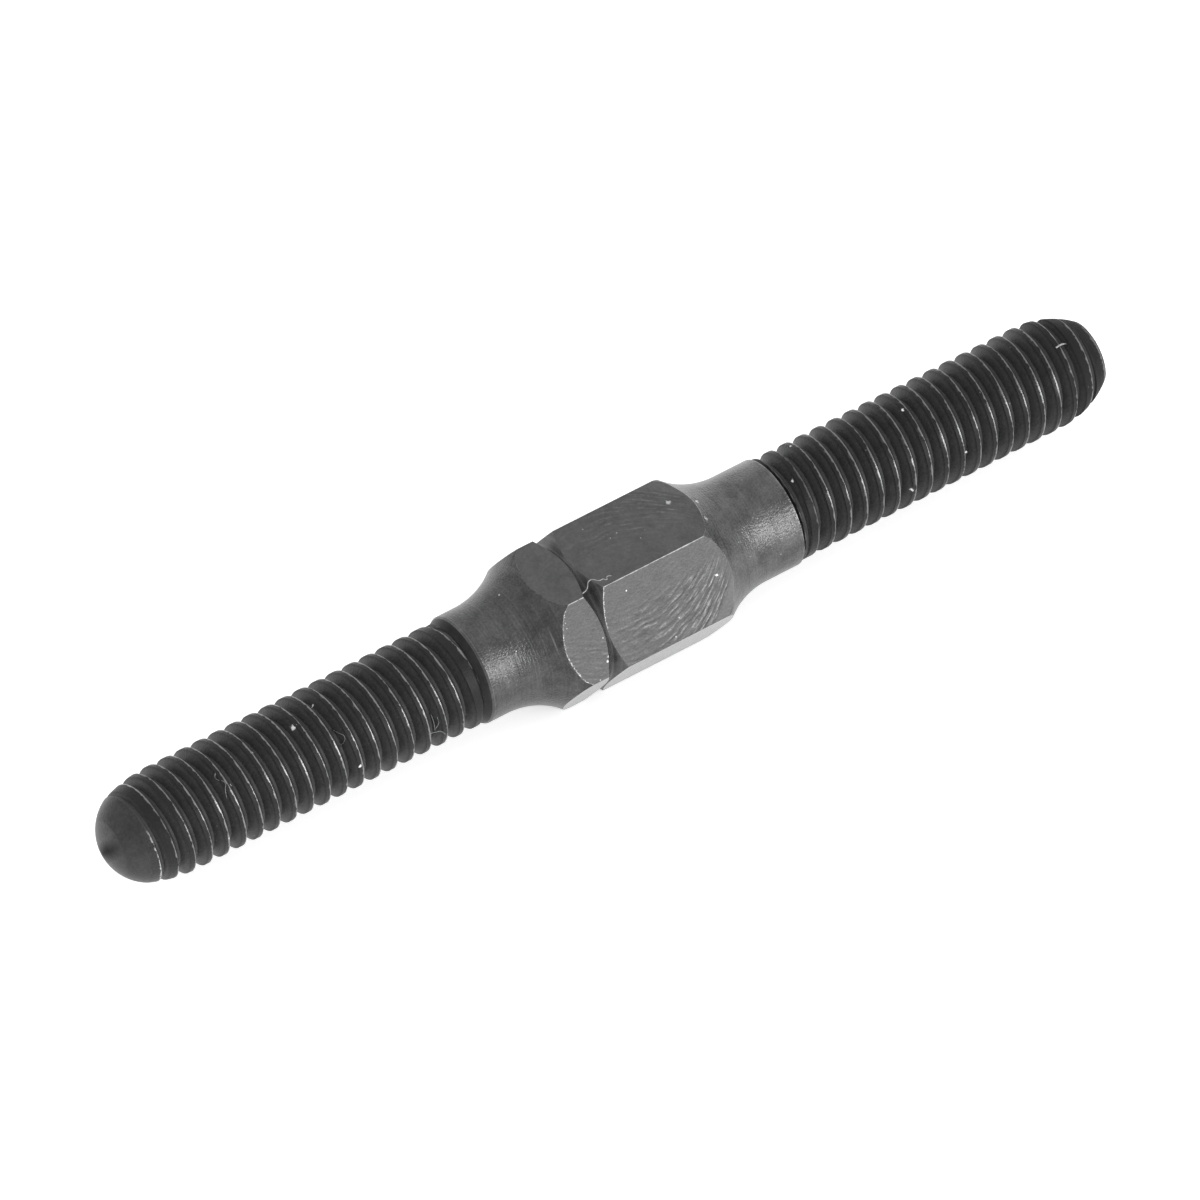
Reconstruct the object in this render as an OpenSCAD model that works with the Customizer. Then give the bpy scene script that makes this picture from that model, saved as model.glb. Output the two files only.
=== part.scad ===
/* [Rod] */
// Length over both rounded ends
rod_l = 42.1; // [38:0.1:60]

/* [Hexagon] */
// Width across the flats
hex_af = 5.5; // [5.2:0.1:7]
// Length along the middle of a flat
hex_l = 7; // [5:0.1:12]
// Distance of the hexagon's middle from mid-length, towards the left-hand thread
hex_shift = 0.2; // [-2:0.1:2]
// Hollow radius that sweeps from a collar up to the hexagon
sweep_r = 3.4; // [2.8:0.1:5]
// Radius that rolls the sweep over into the hexagon's corners
shoulder_r = 0.8; // [0.4:0.1:1.5]

/* [Ring groove] */
// From the flats' right-hand end to the groove that marks the right-hand thread
groove_inset = 1.7; // [1:0.1:3]
// Depth of the groove below the flats
groove_depth = 0.1; // [0.05:0.01:0.3]
// Opening angle of the groove
groove_angle = 78; // [50:1:90]

/* [Collars] */
// Diameter of both plain collars
collar_d = 4.15; // [4.05:0.01:4.8]
// Length of the plain collar beside the right-hand thread
right_collar_l = 0.75; // [0.3:0.05:3]
// Length of the plain collar beside the left-hand thread
left_collar_l = 1.35; // [0.3:0.05:3]
// Length of the cone from the right-hand collar down to its thread
right_cone_l = 0.32; // [0.05:0.01:0.6]
// Length of the cone from the left-hand collar down to its thread
left_cone_l = 0.1; // [0.05:0.01:0.6]

/* [Threads] */
// Outer diameter of both threads
thread_d = 3.98; // [3.6:0.01:4.1]
// Pitch of both threads
pitch = 0.7; // [0.5:0.05:1]
// Turns over which a thread runs out before its collar
run_out_turns = 0.5; // [0.25:0.25:1]
// Place of the right-hand thread's run-out about the rod, from straight down
right_start_angle = 112; // [-180:1:180]
// Place of the left-hand thread's run-out about the rod, from straight down
left_start_angle = -6; // [-180:1:180]
// Depth of the relief between a collar and its thread
relief_depth = 0.12; // [0.05:0.01:0.3]

/* [Rounded ends] */
// Side radius of the right-hand end
right_side_r = 5.2; // [3:0.1:8]
// Tip radius of the right-hand end
right_tip_r = 1.85; // [1.75:0.05:4]
// Diameter of the right-hand end where its side meets its tip
right_tip_d = 3.3; // [2:0.1:3.4]
// Side radius of the left-hand end
left_side_r = 3.6; // [3:0.1:8]
// Tip radius of the left-hand end
left_tip_r = 2.7; // [1.75:0.05:4]
// Diameter of the left-hand end where its side meets its tip
left_tip_d = 2.5; // [2:0.1:3.4]

/* [Hidden] */

// Straight steps that follow each arc of the turned outline
ARC_STEPS = 12;
// Straight steps in each turn of a thread
TURN_STEPS = 16;
// Room by which a cut passes the surface that it starts from
CUT_ROOM = 0.06;
RIGHT_HAND = 1;
LEFT_HAND = -1;

collar_r = collar_d / 2;
thread_r = thread_d / 2;
relief_r = thread_r - relief_depth;
flat_r = hex_af / 2;
corner_r = flat_r / cos(30);
blank_r = corner_r + CUT_ROOM / 3;

// The sweep and the shoulder are two arcs that meet at this slope
meet_angle = acos(1 - (blank_r - collar_r) / (sweep_r + shoulder_r));
// Axial length of the sweep from the collar to the flats' radius
sweep_l = sqrt(pow(sweep_r, 2) - pow(sweep_r - flat_r + collar_r, 2));

// A 60 degree thread with a quarter of a pitch flat at the crest and an eighth at the root
flank_slope = tan(30);
crest_w = pitch / 4;
root_w = pitch / 8;
thread_depth = (pitch - crest_w - root_w) / 2 / flank_slope;
root_r = thread_r - thread_depth;

right_reach = hex_l / 2 - hex_shift + sweep_l + right_collar_l;
left_reach = hex_l / 2 + hex_shift + sweep_l + left_collar_l;

// Points of an arc; one that carries on from the arc before it leaves out the shared first point
function arc(centre, r, from, to, first = 0) =
    [for (i = [first:ARC_STEPS])
        let (a = from + (to - from) * i / ARC_STEPS)
        centre + r * [cos(a), sin(a)]];

// Outline of one half, from the hexagon to the tip: radius first, then distance from mid-length
function half_outline(collar_y, collar_l, cone_l, side_r, tip_r, tip_d) =
    let (
        sweep_y = collar_y - collar_l,
        meet_y = sweep_y - sweep_r * sin(meet_angle),
        shoulder_y = meet_y - shoulder_r * sin(meet_angle),
        relief_y = collar_y + cone_l,
        drop = thread_r - tip_d / 2,
        side_l = sqrt(pow(side_r, 2) - pow(side_r - drop, 2)),
        tip_angle = asin(tip_d / 2 / tip_r),
        tip_y = rod_l / 2 - tip_r,
        side_y = tip_y + tip_r * cos(tip_angle) - side_l,
        side_angle = asin(side_l / side_r)
    )
    concat(
        arc([blank_r - shoulder_r, shoulder_y], shoulder_r, 0, meet_angle),
        arc([collar_r + sweep_r, sweep_y], sweep_r, 180 + meet_angle, 180, first = 1),
        [[collar_r, collar_y], [relief_r, relief_y], [thread_r, relief_y + relief_depth]],
        arc([thread_r - side_r, side_y], side_r, 0, side_angle),
        arc([0, tip_y], tip_r, 90 - tip_angle, 90, first = 1)
    );

function reversed(list) = [for (i = [len(list) - 1:-1:0]) list[i]];

module turned_blank() {
    left = half_outline(left_reach, left_collar_l, left_cone_l, left_side_r, left_tip_r, left_tip_d);
    right = half_outline(right_reach, right_collar_l, right_cone_l, right_side_r, right_tip_r, right_tip_d);
    rotate_extrude($fn = 96)
        polygon(concat(left, [for (p = reversed(right)) [p[0], -p[1]]]));
}

module hexagon() {
    rotate(30)
        cylinder(h = 2 * rod_l, r = corner_r, center = true, $fn = 6);
}

module ring_groove() {
    bottom_r = flat_r - groove_depth;
    open_r = corner_r + CUT_ROOM;
    half_w = (open_r - bottom_r) * tan(groove_angle / 2);
    translate([0, 0, hex_shift - hex_l / 2 + groove_inset])
        rotate_extrude($fn = 96)
            polygon([[bottom_r, 0], [open_r, -half_w], [open_r, half_w]]);
}

// Section of a thread's groove, lifted out of the rod by some way: radius first, then axial place
function groove_section(lift) =
    let (
        half_root = root_w / 2,
        half_open = (pitch - crest_w) / 2 + CUT_ROOM * flank_slope
    )
    [
        [thread_r + CUT_ROOM + lift, -half_open],
        [root_r + lift, -half_root],
        [root_r + lift, half_root],
        [thread_r + CUT_ROOM + lift, half_open]
    ];

// The groove of one thread, from beyond the tip to the relief, where it runs out
module thread_groove(relief_y, hand) {
    start_y = rod_l / 2 + pitch / 2;
    steps = ceil((start_y - relief_y) / pitch * TURN_STEPS);
    run_out = run_out_turns * TURN_STEPS;
    full_lift = collar_r - root_r + CUT_ROOM;
    corners = len(groove_section(0));
    points = [
        for (k = [0:steps])
        let (
            lift = full_lift * max(0, (k - steps + run_out) / run_out),
            a = hand * 360 * (steps - k) / TURN_STEPS,
            y = relief_y + pitch * (steps - k) / TURN_STEPS
        )
        for (p = groove_section(lift)) [p[0] * cos(a), p[0] * sin(a), y + p[1]]
    ];
    at = function (k, j) corners * k + j % corners;
    sides = [
        for (k = [0:steps - 1])
        for (j = [0:corners - 1])
        for (f = [[at(k, j), at(k, j + 1), at(k + 1, j + 1)], [at(k, j), at(k + 1, j + 1), at(k + 1, j)]]) f
    ];
    first_cap = [for (j = [corners - 1:-1:0]) at(0, j)];
    last_cap = [for (j = [0:corners - 1]) at(steps, j)];
    faces = concat(sides, [first_cap, last_cap]);
    polyhedron(points, hand == RIGHT_HAND ? faces : [for (f = faces) reversed(f)]);
}

module turnbuckle_rod() {
    color("#484848")
        rotate([0, 90, 0])
            difference() {
                intersection() {
                    turned_blank();
                    hexagon();
                }
                ring_groove();
                rotate(left_start_angle)
                    thread_groove(left_reach + left_cone_l, LEFT_HAND);
                rotate([180, 0, 0])
                    rotate(right_start_angle)
                        thread_groove(right_reach + right_cone_l, RIGHT_HAND);
            }
}

turnbuckle_rod();
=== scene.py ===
"""Looks of a one-piece steel turnbuckle rod: two threaded studs of opposite hands on a milled hexagon."""
from dataclasses import dataclass
from math import acos, asin, cos, pi, radians, sin, sqrt, tan

import bmesh
import bpy
import numpy as np
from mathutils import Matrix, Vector


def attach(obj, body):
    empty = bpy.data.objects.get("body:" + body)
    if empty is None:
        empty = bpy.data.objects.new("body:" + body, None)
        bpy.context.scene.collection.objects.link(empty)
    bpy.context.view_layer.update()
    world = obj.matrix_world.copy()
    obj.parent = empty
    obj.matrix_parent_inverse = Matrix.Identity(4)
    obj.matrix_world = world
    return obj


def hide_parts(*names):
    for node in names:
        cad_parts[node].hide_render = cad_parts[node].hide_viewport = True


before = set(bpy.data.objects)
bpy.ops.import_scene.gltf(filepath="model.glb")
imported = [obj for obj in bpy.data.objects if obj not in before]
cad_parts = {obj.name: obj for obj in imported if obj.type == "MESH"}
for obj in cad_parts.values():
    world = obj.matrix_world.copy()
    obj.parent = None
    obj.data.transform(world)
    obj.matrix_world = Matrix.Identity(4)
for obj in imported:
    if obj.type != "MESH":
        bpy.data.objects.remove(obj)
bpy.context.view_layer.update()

# Sizes of the rod, in millimetres
MM = 0.001
ROD_L = 42.1
HEX_AF = 5.5
HEX_L = 7.0
HEX_SHIFT = 0.2
SWEEP_R = 3.4
SHOULDER_R = 0.8
BLANK_ROOM = 0.02
GROOVE_INSET = 1.7
GROOVE_DEPTH = 0.1
GROOVE_HALF_ANGLE = radians(39)
COLLAR_R = 2.075
THREAD_R = 1.99
RELIEF_DEPTH = 0.12
PITCH = 0.7
RUN_OUT_TURNS = 0.5
RUN_OUT_ROOM = 0.06
# How far inside the thread's root the plain cap of a rounded end starts
CAP_ROOM = 0.01

FLAT_R = HEX_AF / 2
CORNER_R = FLAT_R / cos(radians(30))
CORNER_ACROSS = FLAT_R * tan(radians(30))
BLANK_R = CORNER_R + BLANK_ROOM
RELIEF_R = THREAD_R - RELIEF_DEPTH
FLANK_SLOPE = tan(radians(30))
ROOT_W = PITCH / 8
CREST_W = PITCH / 4
ROOT_R = THREAD_R - (PITCH - CREST_W - ROOT_W) / 2 / FLANK_SLOPE
GROOVE_X = HEX_SHIFT - HEX_L / 2 + GROOVE_INSET
MEET_ANGLE = acos(1 - (BLANK_R - COLLAR_R) / (SWEEP_R + SHOULDER_R))
MEET_R = COLLAR_R + SWEEP_R * (1 - cos(MEET_ANGLE))
SWEEP_L = sqrt(SWEEP_R ** 2 - (SWEEP_R - FLAT_R + COLLAR_R) ** 2)

# Bright chips on the surface: middle, size and stretch along the rod
FLAT_CHIPS = (
    ((2.94, 0.42, 2.75), 0.11, 1.0),
    ((3.09, -2.36, 1.4), 0.06, 1.2),
    ((-0.38, -1.85, 2.3), 0.04, 1.0),
    ((-1.88, -2.89, 0.49), 0.06, 1.0),
    ((-1.78, -2.82, 0.62), 0.06, 1.0),
)
SWEEP_CHIPS = (
    ((3.86, -0.02, 2.64), 0.09, 1.0),
    ((3.68, -0.86, 2.62), 0.1, 1.0),
    ((-4.14, 0.54, 2.22), 0.05, 1.0),
)
THREAD_CHIPS = (
    ((-17.11, -1.95, 0.09), 0.08, 1.0),
    ((-16.34, -0.91, 1.39), 0.07, 1.0),
    ((-15.12, -0.43, 1.84), 0.07, 1.0),
    ((-13.32, -0.28, 1.85), 0.13, 1.0),
    ((-12.09, 0.36, 1.62), 0.06, 2.0),
    ((-11.66, -1.96, 0.35), 0.09, 1.0),
    ((7.64, -0.49, 1.78), 0.08, 1.0),
    ((8.55, 0.95, 1.75), 0.06, 1.0),
    ((11.79, -1.95, 0.08), 0.09, 1.0),
    ((12.68, -0.04, 1.99), 0.08, 1.0),
    ((14.39, -1.6, 0.14), 0.07, 1.0),
)
# Size of the notches in a chip's outline
CHIP_GRAIN = 0.08

# Curls of burr, each a thickness and the points that it passes through
CURLS = {
    "groove_curl": (0.046, (
        (-1.95, -1.42, 2.737),
        (-1.72, -1.35, 2.737),
        (-1.37, -1.05, 2.737),
        (-1.1, -1.26, 2.737),
        (-0.98, -1.26, 2.737),
        (-0.88, -1.36, 2.737),
        (-0.8, -1.25, 2.737),
        (-0.64, -1.3, 2.737),
    )),
    "nose_curl": (0.07, (
        (18.97, -0.58, 1.88),
        (19.23, -0.54, 1.85),
        (19.49, -0.5, 1.7),
    )),
    "stem_curl": (0.032, (
        (-8.76, -1.98, 0.23),
        (-8.5, -1.95, 0.1),
        (-8.3, -1.95, 0.02),
        (-8.12, -1.99, -0.21),
    )),
    "twig_curl": (0.028, (
        (-8.5, -1.92, 0.08),
        (-8.46, -1.75, 0.45),
        (-8.44, -1.55, 0.66),
    )),
    "side_curl": (0.028, (
        (-8.48, -1.9, 0.2),
        (-8.3, -1.84, 0.35),
        (-8.31, -1.76, 0.6),
    )),
    "fork_curl": (0.028, (
        (-12.06, -0.8, 1.43),
        (-11.97, -1.07, 1.46),
        (-11.86, -1.3, 1.39),
        (-12.06, -1.3, 1.0),
    )),
    "wisp_curl": (0.028, (
        (-16.74, -0.55, 1.93),
        (-16.81, -0.67, 1.81),
        (-16.63, -0.98, 1.76),
        (-16.74, -1.18, 1.63),
        (-16.78, -1.33, 1.36),
    )),
}
# A curl thinner than this is dull
FINE_CURL = 0.04

# Reach of the turning line on the sweep beside the ring groove, painted bright as a glint only high on its
# front side
RING_GLINT_REACH = 3.52
# Whole turns of the right-hand thread up to its rounded end
RIGHT_HAND_TURNS = 19
# Where the broad rim round the right-hand tip starts, rubbed bright and painted as a highlight on its lit
# side
NOSE_RIM_X = -19.6
# Where the left-hand stud starts to grow duller, towards its rounded end
FAR_NOSE_X = 18.7
# Radius of the rubbed ring on the left-hand tip, and of the lighter cap on the right-hand one
FAR_RIM_R = 1.31
CAP_R = 1.02
# The way that the smudge on the right-hand tip points, as its shares of -Y and +Z
SMUDGE_WAY = (cos(radians(53.8)), sin(radians(53.8)))
# The milling cutter: where its middle runs, its radius, its feed from arc to arc and where the arcs start
CUTTER_X = -0.5
CUTTER_R = 4.9
CUTTER_FEED = 0.25
FEED_START = 2.3
# The front flat faces this far up from -Y
FRONT_ANGLE = radians(30)

# Tones from 0, black, to 1, white
BARE_TONE = 0.5
TURNED_TONE = 0.091
FLAT_TONE = 0.109
FRONT_FLAT_SHADED_TONE = 0.082
STREAK_TONE = 0.13
# The thread's flanks are painted lighter than its crests, as fill against the shade in the groove
FLANK_FILL_TONE = 0.038
CREST_TONE = 0.008
NOSE_TONE = 0.052
RIGHT_RIM_TONE = 0.25
LEFT_RIM_TONE = 0.21
CHIP_TONE = 0.85
RIGHT_TIP_TONE = 0.054
LEFT_TIP_TONE = 0.034
CAP_TONE = 0.077
SMUDGE_TONE = 0.008
RUBBED_TIP_TONE = 0.4
GROOVE_TONE = 0.11
GROOVE_GLINT_TONE = 0.3
CONE_TONE = 0.032
BRIGHT_BURR_TONES = (0.25, 0.5)
DULL_BURR_TONES = (0.13, 0.3)
FLOOR_TONES = (0.9, 0.93)
# The steel is a trace bluer than grey
BLUE_SHARE = 1.01
# Strength of the sheen on the black finish
GLOSS = 0.2

# The camera's rise above the floor, its turn about +Z and its distance, in metres
CAMERA_RISE = radians(48.4716)
CAMERA_TURN = radians(34.1833)
CAMERA_GAP = 0.51054
# Where along the rod it aims, and its lens, in millimetres; the shift is in widths of the picture
CAMERA_AIM_X = -0.28
SENSOR_W = 36.0
LENS = 435.05
LENS_SHIFT = (0.00077, 0.00027)

# The studio: a floor, with its blotches to the metre, and one lamp, in metres and watts
FLOOR_HALF = 1.5
FLOOR_GRAIN = 300.0
FLOOR_GLOW = 0.5
KEY_WAY = (0.37, -0.85, 0.38)
KEY_GAP = 0.6
KEY_SIZE = (0.3, 0.3)
KEY_POWER = 1.6

# Fineness of the surface: corners, crest edges and root edges all fall on grid lines
COLUMNS = 96
ROWS_PER_PITCH = 16
# Shares of the way over a sweep, a flat and the ring groove, closest together at their edges
SWEEP_STEPS = (0, 0.01, 0.03, 0.07, *np.linspace(0.12, 1, 22))
FLAT_STEPS = (0, 0.015, 0.05, *np.linspace(0.12, 0.88, 12), 0.95, 0.985, 1)
GROOVE_STEPS = (-0.94, -0.6, -0.3, 0, 0.3, 0.6, 0.94)
# Rows on the plainer stretches
COLLAR_ROWS = 5
CONE_ROWS = 4
NOSE_ROWS = 7
TIP_ROWS = 21
# A bend over this is a real edge
SHARP_ANGLE = radians(9)
# Gaps in metres that count as none
WELD = 2e-7
HAIR = 1e-7
LEAST_R = 1e-9

# Angles run about the rod from the -Y side towards +Z, so that the corners are at multiples of 60 degrees
ANGLES = np.linspace(0, 2 * pi, COLUMNS + 1)
FLAT_ANGLES = ANGLES % (pi / 3) - pi / 6
HEX_R = FLAT_R / np.cos(FLAT_ANGLES)
# Place across a flat, mirrored on every other flat so that it carries on over each corner
MIRROR = np.where(np.arange(COLUMNS + 1) // (COLUMNS // 6) % 2 == 0, 1, -1)
ACROSS = FLAT_R * np.tan(FLAT_ANGLES) * MIRROR
FAR_FROM_EDGE = 1.0

FINISHES = ("turned", "milled", "thread", "rounded", "groove", "cone")


@dataclass
class End:
    """One end of the rod, measured outwards from mid-length, with its thread's start in turns."""

    side: int
    collar_l: float
    cone_l: float
    side_r: float
    tip_r: float
    tip_d: float
    start_turn: float

    def __post_init__(self):
        self.sweep_y = HEX_L / 2 + self.side * HEX_SHIFT + SWEEP_L
        self.collar_y = self.sweep_y + self.collar_l
        self.relief_y = self.collar_y + self.cone_l
        self.shoulder_y = self.sweep_y - (SWEEP_R + SHOULDER_R) * sin(MEET_ANGLE)
        self.tip_y = ROD_L / 2 - self.tip_r
        drop = THREAD_R - self.tip_d / 2
        side_l = sqrt(self.side_r ** 2 - (self.side_r - drop) ** 2)
        self.join_y = self.tip_y + sqrt(self.tip_r ** 2 - self.tip_d ** 2 / 4)
        self.side_y = self.join_y - side_l
        self.cap_y = self.nose_reach(ROOT_R - CAP_ROOM)

    def nose_reach(self, r):
        """How far out the rounded end has this radius."""
        if r < self.tip_d / 2:
            return self.tip_y + sqrt(self.tip_r ** 2 - r ** 2)
        return self.side_y + sqrt(self.side_r ** 2 - (r - THREAD_R + self.side_r) ** 2)

    def blank_radius(self, y):
        """Radius of the stud before its thread is cut."""
        nose = np.clip(y - self.side_y, 0, None)
        side = THREAD_R - self.side_r + np.sqrt(self.side_r ** 2 - nose ** 2)
        tip = np.sqrt(np.clip(self.tip_r ** 2 - (y - self.tip_y) ** 2, 0, None))
        foot = RELIEF_R + (y - self.relief_y)
        return np.minimum(np.where(y > self.join_y, tip, side), foot)

    def flat_reach(self, r):
        """How far out the swept shoulder cuts a flat at this radius."""
        below = np.clip(SWEEP_R + COLLAR_R - r, 0, SWEEP_R)
        on_sweep = self.sweep_y - np.sqrt(SWEEP_R ** 2 - below ** 2)
        above = np.clip(r - BLANK_R + SHOULDER_R, 0, None)
        on_shoulder = self.shoulder_y + np.sqrt(SHOULDER_R ** 2 - above ** 2)
        return np.where(r > MEET_R, on_shoulder, on_sweep)

    def sweep_radius(self, y):
        """Radius of the swept shoulder between the collar and the hexagon."""
        on_sweep = COLLAR_R + SWEEP_R - np.sqrt(SWEEP_R ** 2 - (self.sweep_y - y) ** 2)
        roll = np.clip(y - self.shoulder_y, 0, SHOULDER_R)
        on_shoulder = BLANK_R - SHOULDER_R + np.sqrt(SHOULDER_R ** 2 - roll ** 2)
        return np.where(on_sweep > MEET_R, on_shoulder, on_sweep)


RIGHT_HAND = End(
    side=-1,
    collar_l=0.75,
    cone_l=0.32,
    side_r=5.2,
    tip_r=1.85,
    tip_d=3.3,
    start_turn=22 / 360,
)
LEFT_HAND = End(
    side=1,
    collar_l=1.35,
    cone_l=0.1,
    side_r=3.6,
    tip_r=2.7,
    tip_d=2.5,
    start_turn=276 / 360,
)


class Grid:
    """Rows of points around the rod, and the finish of the strip that follows each row."""

    def __init__(self):
        self.rows = []
        self.finishes = []

    def add(self, reach, radius, finish, edge=FAR_FROM_EDGE):
        row = [np.broadcast_to(np.asarray(part, float), ANGLES.shape) for part in (reach, radius, edge)]
        self.rows.append(row)
        self.finishes.append(finish)


def add_swept_half(grid, end):
    """Rows from a flat's end over the sweep, the collar and the cone to the thread's relief."""
    flat_end = end.flat_reach(HEX_R)
    for step in SWEEP_STEPS:
        y = flat_end + (end.sweep_y - flat_end) * step
        grid.add(y, end.sweep_radius(y) if step else HEX_R, "turned", y - flat_end)
    for step in np.linspace(0, 1, COLLAR_ROWS + 1)[1:]:
        y = end.sweep_y + end.collar_l * step
        grid.add(y, COLLAR_R, "turned", end.collar_y - y)
    for step in np.linspace(0, 1, CONE_ROWS + 1)[1:]:
        grid.add(end.collar_y + end.cone_l * step, COLLAR_R + (RELIEF_R - COLLAR_R) * step, "cone")
    grid.finishes[-1] = "thread"


def add_stud(grid, end):
    """Rows that follow the thread's lead over the stud, and rings over the rounded end to its tip."""
    turns = (end.cap_y - end.relief_y) / PITCH
    lead = ANGLES / (2 * pi) - end.start_turn
    for k in range(-ROWS_PER_PITCH, int((turns + 2) * ROWS_PER_PITCH)):
        y = np.clip(end.relief_y + PITCH * (lead + k / ROWS_PER_PITCH), end.relief_y, end.cap_y)
        grid.add(y, end.blank_radius(y), "thread")
    grid.finishes[-1] = "rounded"
    if end.cap_y < end.join_y:
        for y in np.linspace(end.cap_y, end.join_y, NOSE_ROWS + 1)[1:]:
            grid.add(y, end.blank_radius(y), "rounded")
    first = asin(min(end.tip_d / 2, float(end.blank_radius(end.cap_y))) / end.tip_r)
    for angle in np.linspace(first, 0, TIP_ROWS + 1)[1:]:
        grid.add(end.tip_y + end.tip_r * cos(angle), end.tip_r * sin(angle), "rounded")


def add_flats(grid):
    """Rows over the flats from one swept end to the other, down and up through the ring groove."""
    bottom_r = FLAT_R - GROOVE_DEPTH
    half_w = (HEX_R - bottom_r) * tan(GROOVE_HALF_ANGLE)
    add_flat_span(grid, -RIGHT_HAND.flat_reach(HEX_R), GROOVE_X - half_w)
    grid.finishes[-1] = "groove"
    for step in GROOVE_STEPS:
        radius = bottom_r + (HEX_R - bottom_r) * abs(step)
        grid.add(GROOVE_X + half_w * step, radius, "groove", half_w * (1 - abs(step)))
    add_flat_span(grid, GROOVE_X + half_w, LEFT_HAND.flat_reach(HEX_R))


def add_flat_span(grid, start, end):
    """Rows over the flats between two edges."""
    for step in FLAT_STEPS:
        x = start + (end - start) * step
        grid.add(x, HEX_R, "milled", np.minimum(x - start, end - x))


def rod_rows():
    """All rows of the rod from the right-hand tip to the left-hand tip, as x, radius and edge gap."""
    right, left, middle = Grid(), Grid(), Grid()
    for grid, end in ((right, RIGHT_HAND), (left, LEFT_HAND)):
        add_swept_half(grid, end)
        add_stud(grid, end)
    add_flats(middle)
    mirrored = [[-reach, radius, edge] for reach, radius, edge in reversed(right.rows)]
    strips = [
        *reversed(right.finishes[:-1]),
        "milled",
        *middle.finishes[:-1],
        "milled",
        *left.finishes[:-1],
    ]
    return np.array(mirrored + middle.rows + left.rows), strips


def rod_blank():
    """The turned and milled rod before its threads are cut, as one closed mesh."""
    rows, strips = rod_rows()
    x, radius, edge = rows[:, 0], rows[:, 1], rows[:, 2]
    points = np.stack([x, -radius * np.cos(ANGLES), radius * np.sin(ANGLES)], axis=-1) * MM
    line = COLUMNS + 1
    quads = [
        (n * line + c, n * line + c + 1, (n + 1) * line + c + 1, (n + 1) * line + c)
        for n in range(len(rows) - 1)
        for c in range(COLUMNS)
    ]
    mesh = bpy.data.meshes.new("rod_blank")
    mesh.from_pydata(points.reshape(-1, 3).tolist(), [], quads)
    across = np.broadcast_to(ACROSS, x.shape)
    for name, values in (("edge_gap", edge), ("across", across)):
        noted = mesh.attributes.new(name, "FLOAT", "POINT")
        noted.data.foreach_set("value", values.reshape(-1).astype(np.float32))
    slots = np.repeat([FINISHES.index(name) for name in strips], COLUMNS)
    mesh.polygons.foreach_set("material_index", slots.astype(np.int32))
    weld(mesh)
    return mesh


def weld(mesh):
    """Closes the seam and the poles, drops collapsed faces and turns every face outwards."""
    bm = bmesh.new()
    bm.from_mesh(mesh)
    bmesh.ops.remove_doubles(bm, verts=bm.verts, dist=WELD)
    bmesh.ops.dissolve_degenerate(bm, edges=bm.edges, dist=WELD)
    bmesh.ops.recalc_face_normals(bm, faces=bm.faces)
    bm.to_mesh(mesh)
    bm.free()


def mark_sharp_edges(mesh):
    """Smooth shading, with a crease along every real edge."""
    bm = bmesh.new()
    bm.from_mesh(mesh)
    for face in bm.faces:
        face.smooth = True
    for edge in bm.edges:
        edge.smooth = edge.calc_face_angle(0) < SHARP_ANGLE
    bm.to_mesh(mesh)
    bm.free()


class Graph:
    """Plain calls that add nodes to a tree and link them."""

    def __init__(self, tree):
        self.tree = tree
        tree.nodes.clear()

    def node(self, kind, inputs=None, **settings):
        node = self.tree.nodes.new(kind)
        for name, value in settings.items():
            setattr(node, name, value)
        for key, value in (inputs or {}).items():
            self.feed(node.inputs[key], value)
        return node

    def feed(self, socket, value):
        if isinstance(value, bpy.types.NodeSocket):
            self.tree.links.new(value, socket)
        else:
            socket.default_value = value

    def math(self, operation, *values, clamp=False):
        node = self.node("ShaderNodeMath", operation=operation, use_clamp=clamp)
        for socket, value in zip(node.inputs, values):
            self.feed(socket, value)
        return node.outputs[0]

    def add(self, a, b):
        return self.math("ADD", a, b)

    def less(self, a, b):
        return self.math("SUBTRACT", a, b)

    def over(self, a, b):
        return self.math("DIVIDE", a, b)

    def times(self, product, *factors):
        for factor in factors:
            product = self.math("MULTIPLY", product, factor)
        return product

    def most(self, largest, *others):
        for other in others:
            largest = self.math("MAXIMUM", largest, other)
        return largest

    def between(self, a, b, share):
        return self.add(a, self.times(self.less(b, a), share))

    def ramp(self, value, start, end, low=0.0, high=1.0):
        """Carries start..end over to low..high and no further."""
        inputs = {"Value": value, "From Min": start, "From Max": end, "To Min": low, "To Max": high}
        return self.node("ShaderNodeMapRange", inputs, clamp=True).outputs[0]

    def fade(self, value, start, end):
        """1 up to the start and 0 from the end on."""
        return self.ramp(value, start, end, 1.0, 0.0)

    def spread(self, share, low, high):
        """Carries a share of 0..1 over to low..high."""
        return self.ramp(share, 0.0, 1.0, low, high)

    def vector(self, x, y, z):
        return self.node("ShaderNodeCombineXYZ", {"X": x, "Y": y, "Z": z}).outputs[0]

    def parts(self, vector):
        return self.node("ShaderNodeSeparateXYZ", {0: vector}).outputs

    def scaled(self, vector, factor):
        return self.node("ShaderNodeVectorMath", {0: vector, "Scale": factor}, operation="SCALE").outputs[0]

    def noise(self, vector, detail, roughness):
        inputs = {"Vector": vector, "Scale": 1.0, "Detail": detail, "Roughness": roughness}
        return self.node("ShaderNodeTexNoise", inputs).outputs["Fac"]


# Inputs of the thread cutter, with the value of each
CUTTER_SIZES = {
    "Pitch": PITCH * MM,
    "Root radius": ROOT_R * MM,
    "Root width": ROOT_W * MM,
    "Flank slope": FLANK_SLOPE,
    "Run-out turns": RUN_OUT_TURNS,
    "Run-out lift": (COLLAR_R - ROOT_R + RUN_OUT_ROOM) * MM,
    "Right-hand relief": RIGHT_HAND.relief_y * MM,
    "Right-hand end": RIGHT_HAND.cap_y * MM,
    "Right-hand start turn": RIGHT_HAND.start_turn,
    "Left-hand relief": LEFT_HAND.relief_y * MM,
    "Left-hand end": LEFT_HAND.cap_y * MM,
    "Left-hand start turn": LEFT_HAND.start_turn,
}


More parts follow.
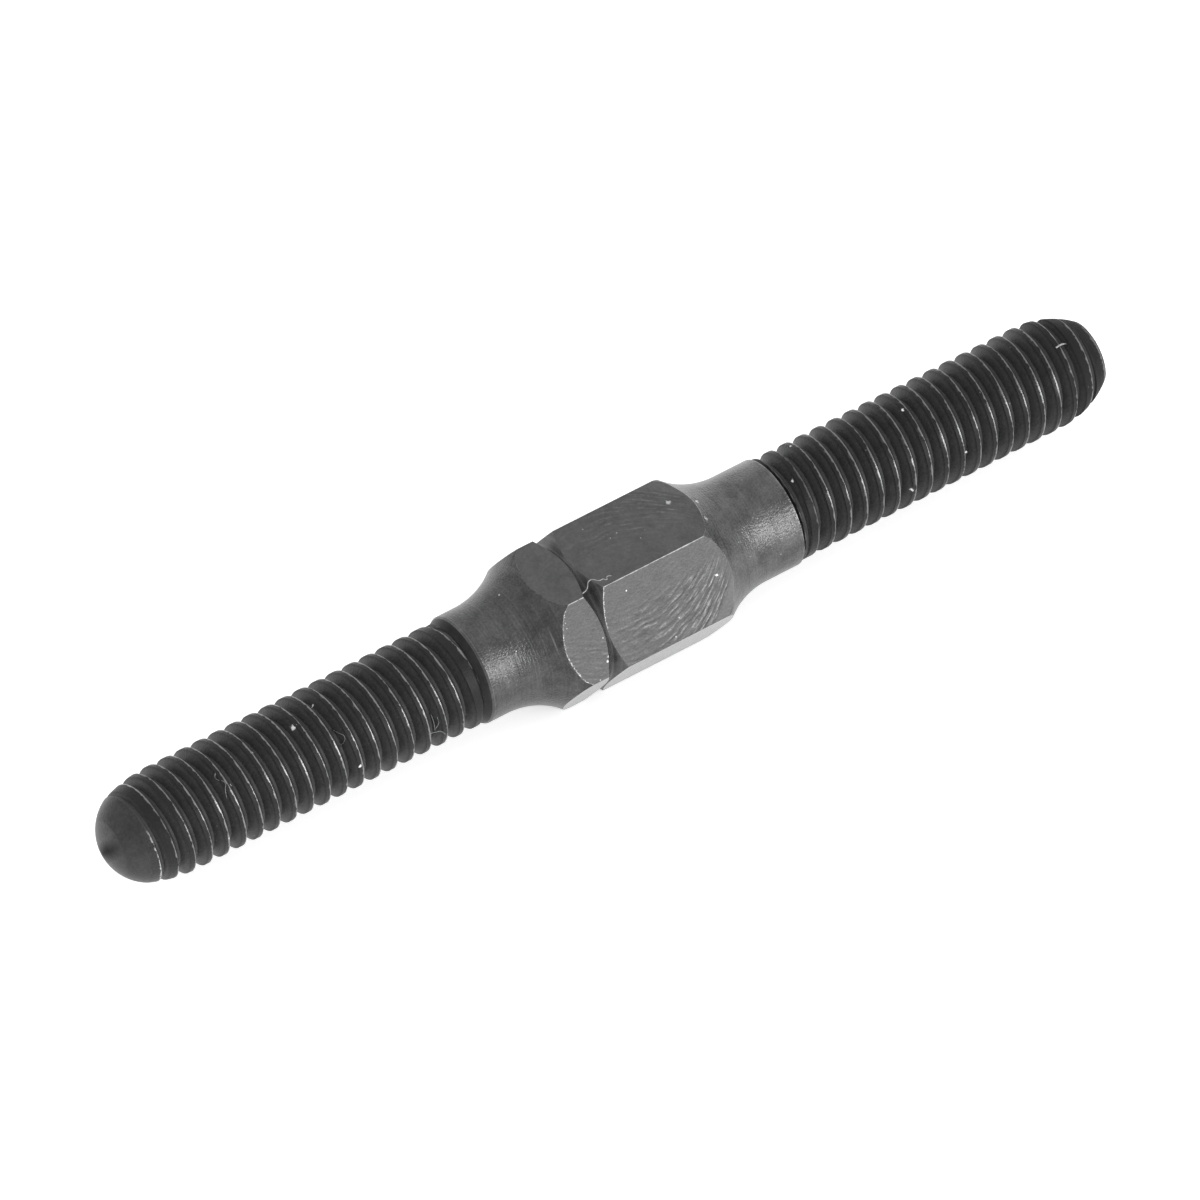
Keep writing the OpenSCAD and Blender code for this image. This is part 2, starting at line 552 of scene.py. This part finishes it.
def thread_cutter():
    """Geometry nodes that cut a thread of each hand and note how near each point is to a crest's rim."""
    tree = bpy.data.node_groups.new("Cut opposite-hand threads", "GeometryNodeTree")
    tree.interface.new_socket("Geometry", in_out="INPUT", socket_type="NodeSocketGeometry")
    for name in CUTTER_SIZES:
        tree.interface.new_socket(name, in_out="INPUT", socket_type="NodeSocketFloat")
    tree.interface.new_socket("Material", in_out="INPUT", socket_type="NodeSocketMaterial")
    tree.interface.new_socket("Geometry", in_out="OUTPUT", socket_type="NodeSocketGeometry")
    g = Graph(tree)
    given = g.node("NodeGroupInput").outputs
    x, y, z = g.parts(g.node("GeometryNodeInputPosition").outputs[0])
    reach = g.math("ABSOLUTE", x)
    on_right = g.math("LESS_THAN", x, 0.0)
    relief = g.between(given["Left-hand relief"], given["Right-hand relief"], on_right)
    stop = g.between(given["Left-hand end"], given["Right-hand end"], on_right)
    start = g.between(given["Left-hand start turn"], given["Right-hand start turn"], on_right)
    radius = g.math("SQRT", g.add(g.times(y, y), g.times(z, z)))
    turn = g.over(g.math("ARCTAN2", z, g.times(y, -1.0)), 2 * pi)

    # Axial place against the middle of the nearest groove
    pitches = g.add(g.less(g.over(g.less(reach, relief), given["Pitch"]), turn), start)
    wrapped = g.times(g.math("WRAP", pitches, 0.5, -0.5), given["Pitch"])
    off_centre = g.math("ABSOLUTE", wrapped)

    # The groove's floor, which lifts out of the rod where the thread runs out, and its flanks
    groove_reach = g.less(g.less(reach, wrapped), relief)
    run_out = g.over(groove_reach, g.times(given["Pitch"], given["Run-out turns"]))
    lift = g.times(g.math("SUBTRACT", 1.0, run_out, clamp=True), given["Run-out lift"])
    floor_r = g.add(given["Root radius"], lift)
    half_root = g.times(given["Root width"], 0.5)
    flank = g.over(g.most(g.less(off_centre, half_root), 0.0), given["Flank slope"])
    cut_r = g.math("MINIMUM", radius, g.add(floor_r, flank))
    shrink = g.over(cut_r, g.most(radius, LEAST_R))
    place = g.vector(x, g.times(y, shrink), g.times(z, shrink))

    # Distance past a crest's rim, and which side of the groove the point is on, in millimetres
    rim_place = g.add(half_root, g.times(g.less(radius, floor_r), given["Flank slope"]))
    rim_gap = g.over(g.less(off_centre, rim_place), MM)
    facing = g.over(g.times(wrapped, g.math("SIGN", x)), -MM)

    past_relief = g.math("GREATER_THAN", reach, g.add(relief, HAIR))
    on_stud = g.times(past_relief, g.math("LESS_THAN", reach, stop))
    geometry = given["Geometry"]
    for name, value in (("rim_gap", rim_gap), ("facing", facing)):
        noted = {"Geometry": geometry, "Selection": on_stud, "Name": name, "Value": value}
        store = g.node("GeometryNodeStoreNamedAttribute", noted, data_type="FLOAT", domain="POINT")
        geometry = store.outputs[0]
    moved = {"Geometry": geometry, "Selection": on_stud, "Position": place}
    cut = g.node("GeometryNodeSetPosition", moved)
    whole = g.node("GeometryNodeRealizeInstances", {"Geometry": cut.outputs[0]})
    coated = {"Geometry": whole.outputs[0], "Selection": on_stud, "Material": given["Material"]}
    finished = g.node("GeometryNodeSetMaterial", coated)
    g.node("NodeGroupOutput", {"Geometry": finished.outputs[0]})
    return tree


def cut_threads(blank, finishes):
    """The rod with both threads cut, as a plain mesh object."""
    rod = bpy.data.objects.new("turnbuckle_rod_surface", blank)
    bpy.context.scene.collection.objects.link(rod)
    for name in FINISHES:
        blank.materials.append(finishes[name])
    tree = thread_cutter()
    modifier = rod.modifiers.new("threads", "NODES")
    modifier.node_group = tree
    values = {**CUTTER_SIZES, "Material": finishes["thread"]}
    for socket in tree.interface.items_tree:
        if socket.in_out == "INPUT" and socket.name in values:
            modifier[socket.identifier] = values[socket.name]
    bpy.context.view_layer.update()
    graph = bpy.context.evaluated_depsgraph_get()
    rod.data = bpy.data.meshes.new_from_object(rod.evaluated_get(graph), depsgraph=graph)
    rod.modifiers.remove(modifier)
    mark_sharp_edges(rod.data)
    return rod


def add_curl(name, thickness, points, material):
    """A thin closed curl that bends smoothly between these points."""
    data = bpy.data.curves.new(name, "CURVE")
    data.dimensions = "3D"
    data.bevel_depth = thickness / 2 * MM
    data.bevel_resolution = 2
    data.use_fill_caps = True
    line = data.splines.new("BEZIER")
    line.bezier_points.add(len(points) - 1)
    line.resolution_u = 6
    for spot, place in zip(line.bezier_points, points):
        spot.co = Vector(place) * MM
        spot.handle_left_type = "AUTO"
        spot.handle_right_type = "AUTO"
    draft = bpy.data.objects.new(name + "_line", data)
    bpy.context.scene.collection.objects.link(draft)
    graph = bpy.context.evaluated_depsgraph_get()
    mesh = bpy.data.meshes.new_from_object(draft.evaluated_get(graph), depsgraph=graph)
    bpy.data.objects.remove(draft)
    weld(mesh)
    mesh.materials.clear()
    mesh.materials.append(material)
    curl = bpy.data.objects.new(name, mesh)
    bpy.context.scene.collection.objects.link(curl)
    return curl


def new_effect(name, inputs, outputs):
    """A group of shader nodes with named inputs, each with its usual value, and named outputs."""
    tree = bpy.data.node_groups.new(name, "ShaderNodeTree")
    for key, value in inputs.items():
        kind = "NodeSocketVector" if isinstance(value, tuple) else "NodeSocketFloat"
        tree.interface.new_socket(key, in_out="INPUT", socket_type=kind).default_value = value
    for key in outputs:
        tree.interface.new_socket(key, in_out="OUTPUT", socket_type="NodeSocketFloat")
    g = Graph(tree)
    return g, g.node("NodeGroupInput").outputs


def blotches():
    """Uneven oxide: a soft cloud from 0 to 1."""
    g, given = new_effect("Blotches", {"Place": (0, 0, 0), "Spacing": 1.0, "Detail": 4.0}, ["Tone"])
    place = g.scaled(given["Place"], g.over(1.0, given["Spacing"]))
    cloud = g.noise(place, given["Detail"], 0.6)
    g.node("NodeGroupOutput", {"Tone": g.ramp(cloud, 0.3, 0.7)})
    return g.tree


def turning_lines():
    """Fine lines around the rod, as a lathe tool leaves them."""
    g, given = new_effect("Turning lines", {"Place": (0, 0, 0), "Spacing": 0.1, "Drift": 0.2}, ["Lines"])
    x, y, z = g.parts(given["Place"])
    along = g.over(x, given["Spacing"])
    lines = g.noise(g.vector(along, g.times(y, given["Drift"]), g.times(z, given["Drift"])), 2.0, 0.6)
    g.node("NodeGroupOutput", {"Lines": g.ramp(lines, 0.3, 0.7)})
    return g.tree


def cutter_arcs():
    """Equal arcs in a row across a flat, as a milling cutter leaves them when it is fed across."""
    inputs = {"Along": 0.0, "Across": 0.0, "Centre along": 0.0, "Cutter radius": 5.0, "Spacing": 0.25}
    g, given = new_effect("Cutter arcs", inputs, ["Feed", "Lines", "Streaks"])
    radius = given["Cutter radius"]
    off_x = g.less(given["Along"], given["Centre along"])
    rise_squared = g.less(g.times(radius, radius), g.times(off_x, off_x))
    feed = g.add(given["Across"], g.math("SQRT", g.most(rise_squared, 0.0)))
    count = g.over(feed, given["Spacing"])

    # Each pass wanders a little and bites with its own strength
    drift = g.noise(g.vector(g.times(feed, 1.5), g.times(off_x, 0.7), 0.0), 2.0, 0.6)
    bite = g.noise(g.vector(count, g.times(off_x, 1.3), 7.0), 2.0, 0.6)
    wave = g.math("SINE", g.times(g.add(count, g.times(drift, 2.5)), 2 * pi))
    fine = g.noise(g.vector(g.times(count, 3.0), g.times(off_x, 2.5), 3.0), 1.0, 0.5)
    lines = g.add(g.times(wave, g.ramp(bite, 0.3, 0.65), 0.35), g.ramp(fine, 0.3, 0.7, 0.35, 0.65))
    streaks = g.noise(g.vector(g.times(count, 5.0), g.times(off_x, 2.5), 4.0), 1.0, 0.5)
    outputs = {"Feed": feed, "Lines": lines, "Streaks": g.ramp(streaks, 0.58, 0.72)}
    g.node("NodeGroupOutput", outputs)
    return g.tree


def specks():
    """A few bright grains, each in a cell of its own."""
    inputs = {"Place": (0, 0, 0), "Spacing": 0.4, "Size": 0.05, "Share": 0.3}
    g, given = new_effect("Specks", inputs, ["Mask"])
    place = g.scaled(given["Place"], g.over(1.0, given["Spacing"]))
    cells = g.node("ShaderNodeTexVoronoi", {"Vector": place, "Scale": 1.0})
    chance, share, _ = g.parts(cells.outputs["Color"])
    reach = g.times(g.over(given["Size"], given["Spacing"]), g.add(share, 0.5))
    grain = g.math("SUBTRACT", 1.0, g.over(cells.outputs["Distance"], reach), clamp=True)
    present = g.math("LESS_THAN", chance, given["Share"])
    g.node("NodeGroupOutput", {"Mask": g.times(g.ramp(grain, 0.0, 0.5), present)})
    return g.tree


def worn_edge():
    """Where an edge is rubbed bright: from 1 on the edge to 0 past an uneven width."""
    inputs = {"Place": (0, 0, 0), "Gap": 1.0, "Width": 0.03, "Grain": 0.15, "Least": 0.25}
    g, given = new_effect("Worn edge", inputs, ["Mask"])
    uneven = g.noise(g.scaled(given["Place"], g.over(1.0, given["Grain"])), 2.0, 0.6)
    width = g.times(given["Width"], g.ramp(uneven, 0.35, 0.65, given["Least"], 1.5))
    gap = g.math("ABSOLUTE", given["Gap"])
    g.node("NodeGroupOutput", {"Mask": g.fade(g.over(gap, width), 0.5, 1.2)})
    return g.tree


def chip():
    """One bright chip: 1 on it and 0 off it. A factor that varies makes its outline uneven."""
    inputs = {"Place": (0, 0, 0), "Middle": (0, 0, 0), "Size": 0.08, "Stretch": 1.0, "Uneven": 1.0}
    g, given = new_effect("Chip", inputs, ["Mask"])
    off = g.node("ShaderNodeVectorMath", {0: given["Place"], 1: given["Middle"]}, operation="SUBTRACT")
    x, y, z = g.parts(off.outputs[0])
    drawn = g.vector(g.over(x, given["Stretch"]), y, z)
    gap = g.node("ShaderNodeVectorMath", {0: drawn}, operation="LENGTH").outputs["Value"]
    mask = g.fade(g.times(gap, given["Uneven"]), g.times(given["Size"], 0.5), given["Size"])
    g.node("NodeGroupOutput", {"Mask": mask})
    return g.tree


class Steel(Graph):
    """A material of blackened steel: tone, bright marks and fine relief on one shader."""

    effects = {}

    def __init__(self, name):
        self.material = bpy.data.materials.new(name)
        self.material.use_nodes = True
        super().__init__(self.material.node_tree)
        here = self.node("ShaderNodeTexCoord").outputs["Object"]
        self.place = self.scaled(here, 1 / MM)
        self.x, self.y, self.z = self.parts(self.place)

    def effect(self, build, **inputs):
        """Outputs of a shared effect, which is built when it is first used."""
        if build not in self.effects:
            self.effects[build] = build()
        tree = self.effects[build]
        values = {key.replace("_", " ").capitalize(): value for key, value in inputs.items()}
        if "Place" in tree.nodes["Group Input"].outputs:
            values["Place"] = self.place
        return self.node("ShaderNodeGroup", values, node_tree=tree).outputs

    def chips(self, marks):
        """Where any of these bright chips is: 1 on a chip and 0 off it."""
        ragged = self.effect(blotches, spacing=CHIP_GRAIN, detail=2.0)["Tone"]
        uneven = self.spread(ragged, 0.6, 1.6)
        masks = [
            self.effect(chip, middle=middle, size=size, stretch=stretch, uneven=uneven)["Mask"]
            for middle, size, stretch in marks
        ]
        return self.most(*masks)

    def attribute(self, name):
        return self.node("ShaderNodeAttribute", attribute_name=name).outputs["Fac"]

    def shade(self, tone, roughness, height, relief, metal=1.0):
        """Ends the material: a grey tone, a roughness, a relief in millimetres and where bare metal shows."""
        bump = self.node("ShaderNodeBump", {"Height": height, "Distance": relief * MM, "Strength": 1.0})
        blue = self.times(tone, BLUE_SHARE)
        colour = self.node("ShaderNodeCombineColor", {"Red": tone, "Green": tone, "Blue": blue})
        inputs = {
            "Base Color": colour.outputs[0],
            "Metallic": metal,
            "Roughness": roughness,
            "Specular IOR Level": GLOSS,
            "Normal": bump.outputs[0],
        }
        shader = self.node("ShaderNodeBsdfPrincipled", inputs)
        self.node("ShaderNodeOutputMaterial", {"Surface": shader.outputs[0]})
        return self.material


def turned_steel():
    """Sweeps and collars: fine turning lines, cloudy oxide, bright grains, one turning line with a painted
    glint, and painted light above on the left-hand side.
    """
    g = Steel("turned")
    cloud = g.effect(blotches, spacing=0.6)["Tone"]
    patches = g.effect(blotches, spacing=1.3, detail=2.0)["Tone"]
    pits = g.effect(blotches, spacing=0.07, detail=1.0)["Tone"]
    lines = g.effect(turning_lines, spacing=0.05)["Lines"]
    grains = g.effect(specks, spacing=0.4, size=0.04, share=0.25)["Mask"]
    on_left = g.ramp(g.x, 0.0, 0.1)

    # The right-hand sweep darkens towards the hexagon, and the left-hand side is patchy and lighter, with
    # painted light that makes it lighter still above
    right_level = g.ramp(g.x, -RIGHT_HAND.sweep_y, -HEX_L / 2, 1.0, 0.8)
    left_patches_and_top_light = g.times(g.spread(patches, 1.08, 1.45), g.ramp(g.z, 0.4, 1.7, 0.84, 1.0))
    level = g.between(right_level, left_patches_and_top_light, on_left)
    tone = g.add(g.spread(cloud, 0.75, 1.25), g.spread(lines, -0.12, 0.12))
    tone = g.times(TURNED_TONE, tone, level, g.spread(pits, 0.84, 1.18))

    worn = g.effect(worn_edge, gap=g.attribute("edge_gap"), width=0.03)["Mask"]
    worn = g.times(worn, g.spread(on_left, 0.08, 0.3))
    # Painted glint: the turning line is bright only high on the front of the sweep, where the light catches
    # it
    off_ring = g.math("ABSOLUTE", g.add(g.x, RING_GLINT_REACH))
    ring = g.ramp(off_ring, 0.01, 0.04, 0.22, 0.0)
    ring = g.times(ring, g.ramp(g.z, 1.2, 1.6), g.fade(g.y, -1.9, -1.5))
    bright = g.most(worn, ring, g.times(grains, 0.5), g.chips(SWEEP_CHIPS))
    tone = g.between(tone, BARE_TONE, bright)

    dull = g.times(g.spread(cloud, 0.29, 0.36), g.spread(on_left, 1.0, 0.96))
    height = g.add(g.times(lines, 0.6), pits)
    return g.shade(tone, dull, height, relief=0.008)


def milled_steel():
    """Flats: arcs of the cutter over cloudy oxide, and edges rubbed bright round the front flat."""
    g = Steel("milled")
    across = g.attribute("across")
    cloud = g.effect(blotches, spacing=0.5)["Tone"]
    stretches = g.effect(blotches, spacing=0.9)["Tone"]
    pits = g.effect(blotches, spacing=0.09, detail=1.0)["Tone"]
    dots = g.effect(blotches, spacing=0.08, detail=1.0)["Tone"]
    grains = g.effect(specks, spacing=0.3, size=0.03, share=0.16)["Mask"]
    arcs = g.effect(
        cutter_arcs,
        along=g.x,
        across=across,
        centre_along=CUTTER_X,
        cutter_radius=CUTTER_R,
        spacing=CUTTER_FEED,
    )
    outwards = g.add(g.times(g.y, -cos(FRONT_ANGLE)), g.times(g.z, sin(FRONT_ANGLE)))
    front = g.ramp(outwards, FLAT_R - 0.05, FLAT_R - 0.01)

    # The arcs show best on the front flat, and fade towards its rubbed corner and both its ends
    fed = g.ramp(arcs["Feed"], FEED_START, FEED_START + 0.15)
    along = g.times(g.ramp(g.x, -1.5, 1.4, 0.25, 1.0), g.ramp(g.x, 3.25, 3.5, 1.0, 0.3))
    swept = g.times(g.ramp(across, -0.1, 0.8, 1.0, 0.1), along, g.spread(front, 0.33, 1.0), fed)
    peaks = g.times(g.ramp(arcs["Lines"], 0.6, 0.9), g.ramp(pits, 0.2, 0.8, 0.2, 1.2))
    ridges = g.times(g.add(g.spread(arcs["Lines"], -0.35, 0.3), peaks), swept)
    streaks = g.times(arcs["Streaks"], swept, g.ramp(g.x, 0.5, 3.0))
    # Painted shade: the front flat gets a darker tone than the other flats, to offset the key light and floor
    # glow it catches; all flats are lighter where the arcs have not started
    plain = g.times(g.spread(front, FLAT_TONE, FRONT_FLAT_SHADED_TONE), g.spread(fed, 1.18, 1.0))
    oxide = g.add(g.spread(cloud, 0.85, 1.12), g.spread(pits, -0.08, 0.08))
    tone = g.add(g.times(plain, g.add(oxide, ridges)), g.times(STREAK_TONE, streaks))

    corner_gap = g.less(CORNER_ACROSS, across)
    corner = g.effect(worn_edge, gap=corner_gap, width=0.024, grain=0.3)["Mask"]
    corner = g.times(corner, g.spread(stretches, 0.35, 1.0), g.spread(front, 0.2, 1.0))
    ends = g.effect(worn_edge, gap=g.attribute("edge_gap"), width=0.045, grain=0.07, least=0.04)["Mask"]
    outer_end = g.times(g.fade(g.x, GROOVE_X - 0.6, GROOVE_X - 0.5), g.ramp(dots, 0.3, 0.8, 0.15, 1.0))
    groove_end = g.times(g.ramp(g.x, GROOVE_X, GROOVE_X + 0.05), g.fade(g.x, 0.5, 1.0))
    groove_end = g.times(groove_end, g.ramp(across, -0.1, 0.5), 0.7)
    ends = g.times(ends, g.most(outer_end, groove_end), front)
    worn = g.times(g.most(corner, ends), 0.8)
    bright = g.most(worn, g.times(grains, 0.6), g.chips(FLAT_CHIPS))
    tone = g.between(tone, BARE_TONE, bright)

    # The flats below mid-height are smoother
    dull = g.times(g.spread(cloud, 0.36, 0.44), g.ramp(g.z, -0.02, 0.0, 0.48, 1.0))
    height = g.add(g.times(arcs["Lines"], swept), g.times(pits, 0.3))
    return g.shade(tone, dull, height, relief=0.006)


def thread_steel():
    """Studs: dark threads whose crest rims are rubbed bright, shown only on the rim that faces the left-hand
    end and the key light, as a painted highlight.
    """
    g = Steel("thread")
    rim = g.attribute("rim_gap")
    cloud = g.effect(blotches, spacing=0.5)["Tone"]
    pits = g.effect(blotches, spacing=0.09, detail=1.0)["Tone"]
    lines = g.effect(turning_lines, spacing=0.06)["Lines"]
    grains = g.effect(specks, spacing=0.5, size=0.04, share=0.2)["Mask"]
    chips = g.chips(THREAD_CHIPS)

    # Rubbing reaches further over the crest than down the flank
    rub_gap = g.most(rim, g.times(rim, -3.5))
    # Painted highlight: the rubbed tone goes only on rims facing +X, towards the key light, and round the
    # right-hand tip only on its -Y side
    lit_rim_side = g.ramp(g.attribute("facing"), -0.02, 0.02)
    on_nose = g.fade(g.x, NOSE_RIM_X, NOSE_RIM_X + 0.2)
    off_start = g.math("ABSOLUTE", g.less(g.x, LEFT_HAND.relief_y))
    worn = g.effect(worn_edge, gap=rub_gap, width=0.048, grain=0.3)["Mask"]
    first_turn = g.ramp(off_start, 0.8, 1.2, 0.45, 1.0)
    worn = g.times(worn, lit_rim_side, g.spread(on_nose, 1.0, 0.12), first_turn)
    nose_rim = g.effect(worn_edge, gap=rub_gap, width=0.06, grain=0.12)["Mask"]
    nose_rim = g.times(nose_rim, lit_rim_side, on_nose, g.fade(g.y, -1.15, -0.95))
    bright = g.most(g.times(worn, 0.9), g.times(grains, 0.4), nose_rim)

    # The right-hand stud shows metal past the thread's last groove
    turn = g.over(g.math("ARCTAN2", g.z, g.times(g.y, -1.0)), 2 * pi)
    last_groove = g.times(g.add(turn, RIGHT_HAND_TURNS - RIGHT_HAND.start_turn), PITCH)
    past_groove = g.less(g.times(g.x, -1.0), last_groove)
    nose = g.ramp(past_groove, RIGHT_HAND.relief_y, RIGHT_HAND.relief_y + 0.1)
    nose = g.times(nose, g.ramp(rim, -0.02, 0.02))

    # Painted fill: the tone rises from the dark crests down into the groove, to offset the shade that falls
    # there; the right-hand stud is a trace lighter
    dark = g.add(g.ramp(rim, -0.06, 0.0, FLANK_FILL_TONE, CREST_TONE), g.ramp(g.x, -6.0, 6.0, 0.004, 0.0))
    oxide = g.times(g.spread(cloud, 0.85, 1.15), g.spread(pits, 0.85, 1.15))
    tone = g.times(g.between(dark, NOSE_TONE, nose), oxide)
    rim_tone = g.ramp(g.x, -10.0, 10.0, RIGHT_RIM_TONE, LEFT_RIM_TONE)
    shine = g.spread(g.most(g.times(nose_rim, 0.5), chips), rim_tone, CHIP_TONE)
    tone = g.between(tone, shine, g.most(bright, chips))
    metal = g.times(g.most(bright, nose), g.fade(chips, 0.0, 1.0))

    dull = g.between(g.spread(cloud, 0.4, 0.5), 0.3, bright)
    dull = g.add(dull, g.ramp(g.x, FAR_NOSE_X, FAR_NOSE_X + 0.6, 0.0, 0.25))
    height = g.add(g.times(lines, 0.3), pits)
    return g.shade(tone, dull, height, relief=0.005, metal=metal)


def rounded_steel():
    """Rounded ends: satin, with a lighter cap and a smudge on the right-hand tip."""
    g = Steel("rounded")
    cloud = g.effect(blotches, spacing=0.4)["Tone"]
    pits = g.effect(blotches, spacing=0.09, detail=1.0)["Tone"]
    lines = g.effect(turning_lines, spacing=0.05)["Lines"]
    grains = g.effect(specks, spacing=0.5, size=0.05, share=0.3)["Mask"]
    off_axis = g.math("SQRT", g.add(g.times(g.y, g.y), g.times(g.z, g.z)))
    on_right = g.fade(g.x, -0.1, 0.1)

    # Place along the smudge, and to one side of it
    out = g.add(g.times(g.y, -SMUDGE_WAY[0]), g.times(g.z, SMUDGE_WAY[1]))
    aside = g.add(g.times(g.y, SMUDGE_WAY[1]), g.times(g.z, SMUDGE_WAY[0]))
    cap = g.times(g.fade(off_axis, CAP_R, CAP_R + 0.05), g.ramp(aside, -0.3, 0.3, 0.4, 1.0), on_right)
    off_line = g.math("ABSOLUTE", g.add(aside, 0.04))
    smudge = g.times(g.ramp(out, -0.5, -0.2), g.ramp(out, 0.4, 1.25, 0.95, 0.0))
    smudge = g.times(smudge, g.fade(off_line, 0.03, 0.42), g.spread(cloud, 0.8, 1.1), on_right)
    plain = g.spread(on_right, LEFT_TIP_TONE, RIGHT_TIP_TONE)
    oxide = g.times(g.spread(cloud, 0.85, 1.15), g.spread(pits, 0.9, 1.1))
    tone = g.times(g.between(plain, CAP_TONE, cap), oxide)
    tone = g.between(tone, SMUDGE_TONE, smudge)

    rub = g.effect(worn_edge, gap=g.less(off_axis, FAR_RIM_R), width=0.05, grain=0.12)["Mask"]
    rub = g.times(rub, g.ramp(g.y, -0.6, 0.6, 0.45, 0.12), g.fade(on_right, 0.0, 1.0))
    tone = g.between(tone, RUBBED_TIP_TONE, g.most(rub, g.times(grains, 0.5)))

    dull = g.between(g.spread(cloud, 0.38, 0.48), 0.65, smudge)
    dull = g.between(0.8, dull, on_right)
    height = g.add(g.times(lines, 0.3), pits)
    return g.shade(tone, dull, height, relief=0.005)


def groove_steel():
    """The ring groove: dark walls, with a painted highlight along the sharp bottom, standing in for a rounded
    bottom that catches the light.
    """
    g = Steel("groove")
    cloud = g.effect(blotches, spacing=0.4)["Tone"]
    lines = g.effect(turning_lines, spacing=0.06)["Lines"]
    dark = g.times(GROOVE_TONE, g.add(g.spread(cloud, 0.7, 1.2), g.spread(lines, -0.15, 0.15)))
    # Painted highlight along the sharp bottom of the groove
    bottom = g.fade(g.math("ABSOLUTE", g.less(g.x, GROOVE_X)), 0.03, 0.1)
    tone = g.between(dark, GROOVE_GLINT_TONE, g.times(bottom, 0.45))
    return g.shade(tone, g.spread(cloud, 0.42, 0.52), lines, relief=0.005)


def cone_steel():
    """The cones beside the collars, where the black finish is unrubbed."""
    g = Steel("cone")
    cloud = g.effect(blotches, spacing=0.4)["Tone"]
    lines = g.effect(turning_lines, spacing=0.06)["Lines"]
    dark = g.times(CONE_TONE, g.add(g.spread(cloud, 0.7, 1.2), g.spread(lines, -0.15, 0.15)))
    return g.shade(dark, g.spread(cloud, 0.42, 0.52), lines, relief=0.005)


def burr_steel(name, dark, light):
    """Metal that the cutter pushed up."""
    g = Steel(name)
    cloud = g.effect(blotches, spacing=0.1)["Tone"]
    return g.shade(g.spread(cloud, dark, light), g.spread(cloud, 0.4, 0.5), cloud, relief=0.004)


def pale_floor():
    """A pale, faintly uneven floor that glows a little, so that it stays near white."""
    material = bpy.data.materials.new("pale_floor")
    material.use_nodes = True
    g = Graph(material.node_tree)
    here = g.node("ShaderNodeTexCoord").outputs["Object"]
    tone = g.ramp(g.noise(g.scaled(here, FLOOR_GRAIN), 3.0, 0.6), 0.3, 0.7, *FLOOR_TONES)
    grey = g.node("ShaderNodeCombineColor", {"Red": tone, "Green": tone, "Blue": tone})
    inputs = {
        "Base Color": grey.outputs[0],
        "Roughness": 0.9,
        "Emission Color": (1, 1, 1, 1),
        "Emission Strength": FLOOR_GLOW,
    }
    shader = g.node("ShaderNodeBsdfPrincipled", inputs)
    g.node("ShaderNodeOutputMaterial", {"Surface": shader.outputs[0]})
    return material


def put_camera():
    """A long lens that looks down on the rod from the side of its right-hand end."""
    flat = cos(CAMERA_RISE)
    view = Vector((-sin(CAMERA_TURN) * flat, -cos(CAMERA_TURN) * flat, sin(CAMERA_RISE)))
    data = bpy.data.cameras.new("camera")
    data.sensor_fit = "HORIZONTAL"
    data.sensor_width = SENSOR_W
    data.lens = LENS
    data.shift_x, data.shift_y = LENS_SHIFT
    camera = bpy.data.objects.new("camera", data)
    camera.location = Vector((CAMERA_AIM_X * MM, 0, 0)) + view * CAMERA_GAP
    camera.rotation_euler = view.to_track_quat("Z", "Y").to_euler()
    bpy.context.scene.collection.objects.link(camera)
    bpy.context.scene.camera = camera


def put_floor():
    """The floor that the rod lies on, at the height of its lowest flat."""
    z = -FLAT_R * MM
    corners = [(x * FLOOR_HALF, y * FLOOR_HALF, z) for x, y in ((-1, -1), (1, -1), (1, 1), (-1, 1))]
    mesh = bpy.data.meshes.new("floor")
    mesh.from_pydata(corners, [], [(0, 1, 2, 3)])
    floor = bpy.data.objects.new("floor", mesh)
    bpy.context.scene.collection.objects.link(floor)
    mesh.materials.append(pale_floor())


def put_sky():
    """Even white light from all around."""
    world = bpy.data.worlds.new("studio")
    world.use_nodes = True
    g = Graph(world.node_tree)
    sky = g.node("ShaderNodeBackground", {"Color": (1, 1, 1, 1), "Strength": 1.0})
    g.node("ShaderNodeOutputWorld", {"Surface": sky.outputs[0]})
    bpy.context.scene.world = world
    bpy.context.scene.view_settings.view_transform = "Standard"


def put_key_light():
    """A soft square lamp to the front, low and towards the left-hand end."""
    data = bpy.data.lights.new("key", "AREA")
    data.shape = "RECTANGLE"
    data.size, data.size_y = KEY_SIZE
    data.energy = KEY_POWER
    light = bpy.data.objects.new("key", data)
    way = Vector(KEY_WAY).normalized()
    light.location = way * KEY_GAP
    light.rotation_euler = way.to_track_quat("Z", "Y").to_euler()
    bpy.context.scene.collection.objects.link(light)


put_camera()
put_floor()
put_sky()
put_key_light()

finishes = {
    "turned": turned_steel(),
    "milled": milled_steel(),
    "thread": thread_steel(),
    "rounded": rounded_steel(),
    "groove": groove_steel(),
    "cone": cone_steel(),
}
rod = cut_threads(rod_blank(), finishes)
bright_burr = burr_steel("bright_burr", *BRIGHT_BURR_TONES)
dull_burr = burr_steel("dull_burr", *DULL_BURR_TONES)
curls = [
    add_curl(name, thickness, points, bright_burr if thickness > FINE_CURL else dull_burr)
    for name, (thickness, points) in CURLS.items()
]
for piece in (rod, *curls):
    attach(piece, "root")
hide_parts("turnbuckle_rod")
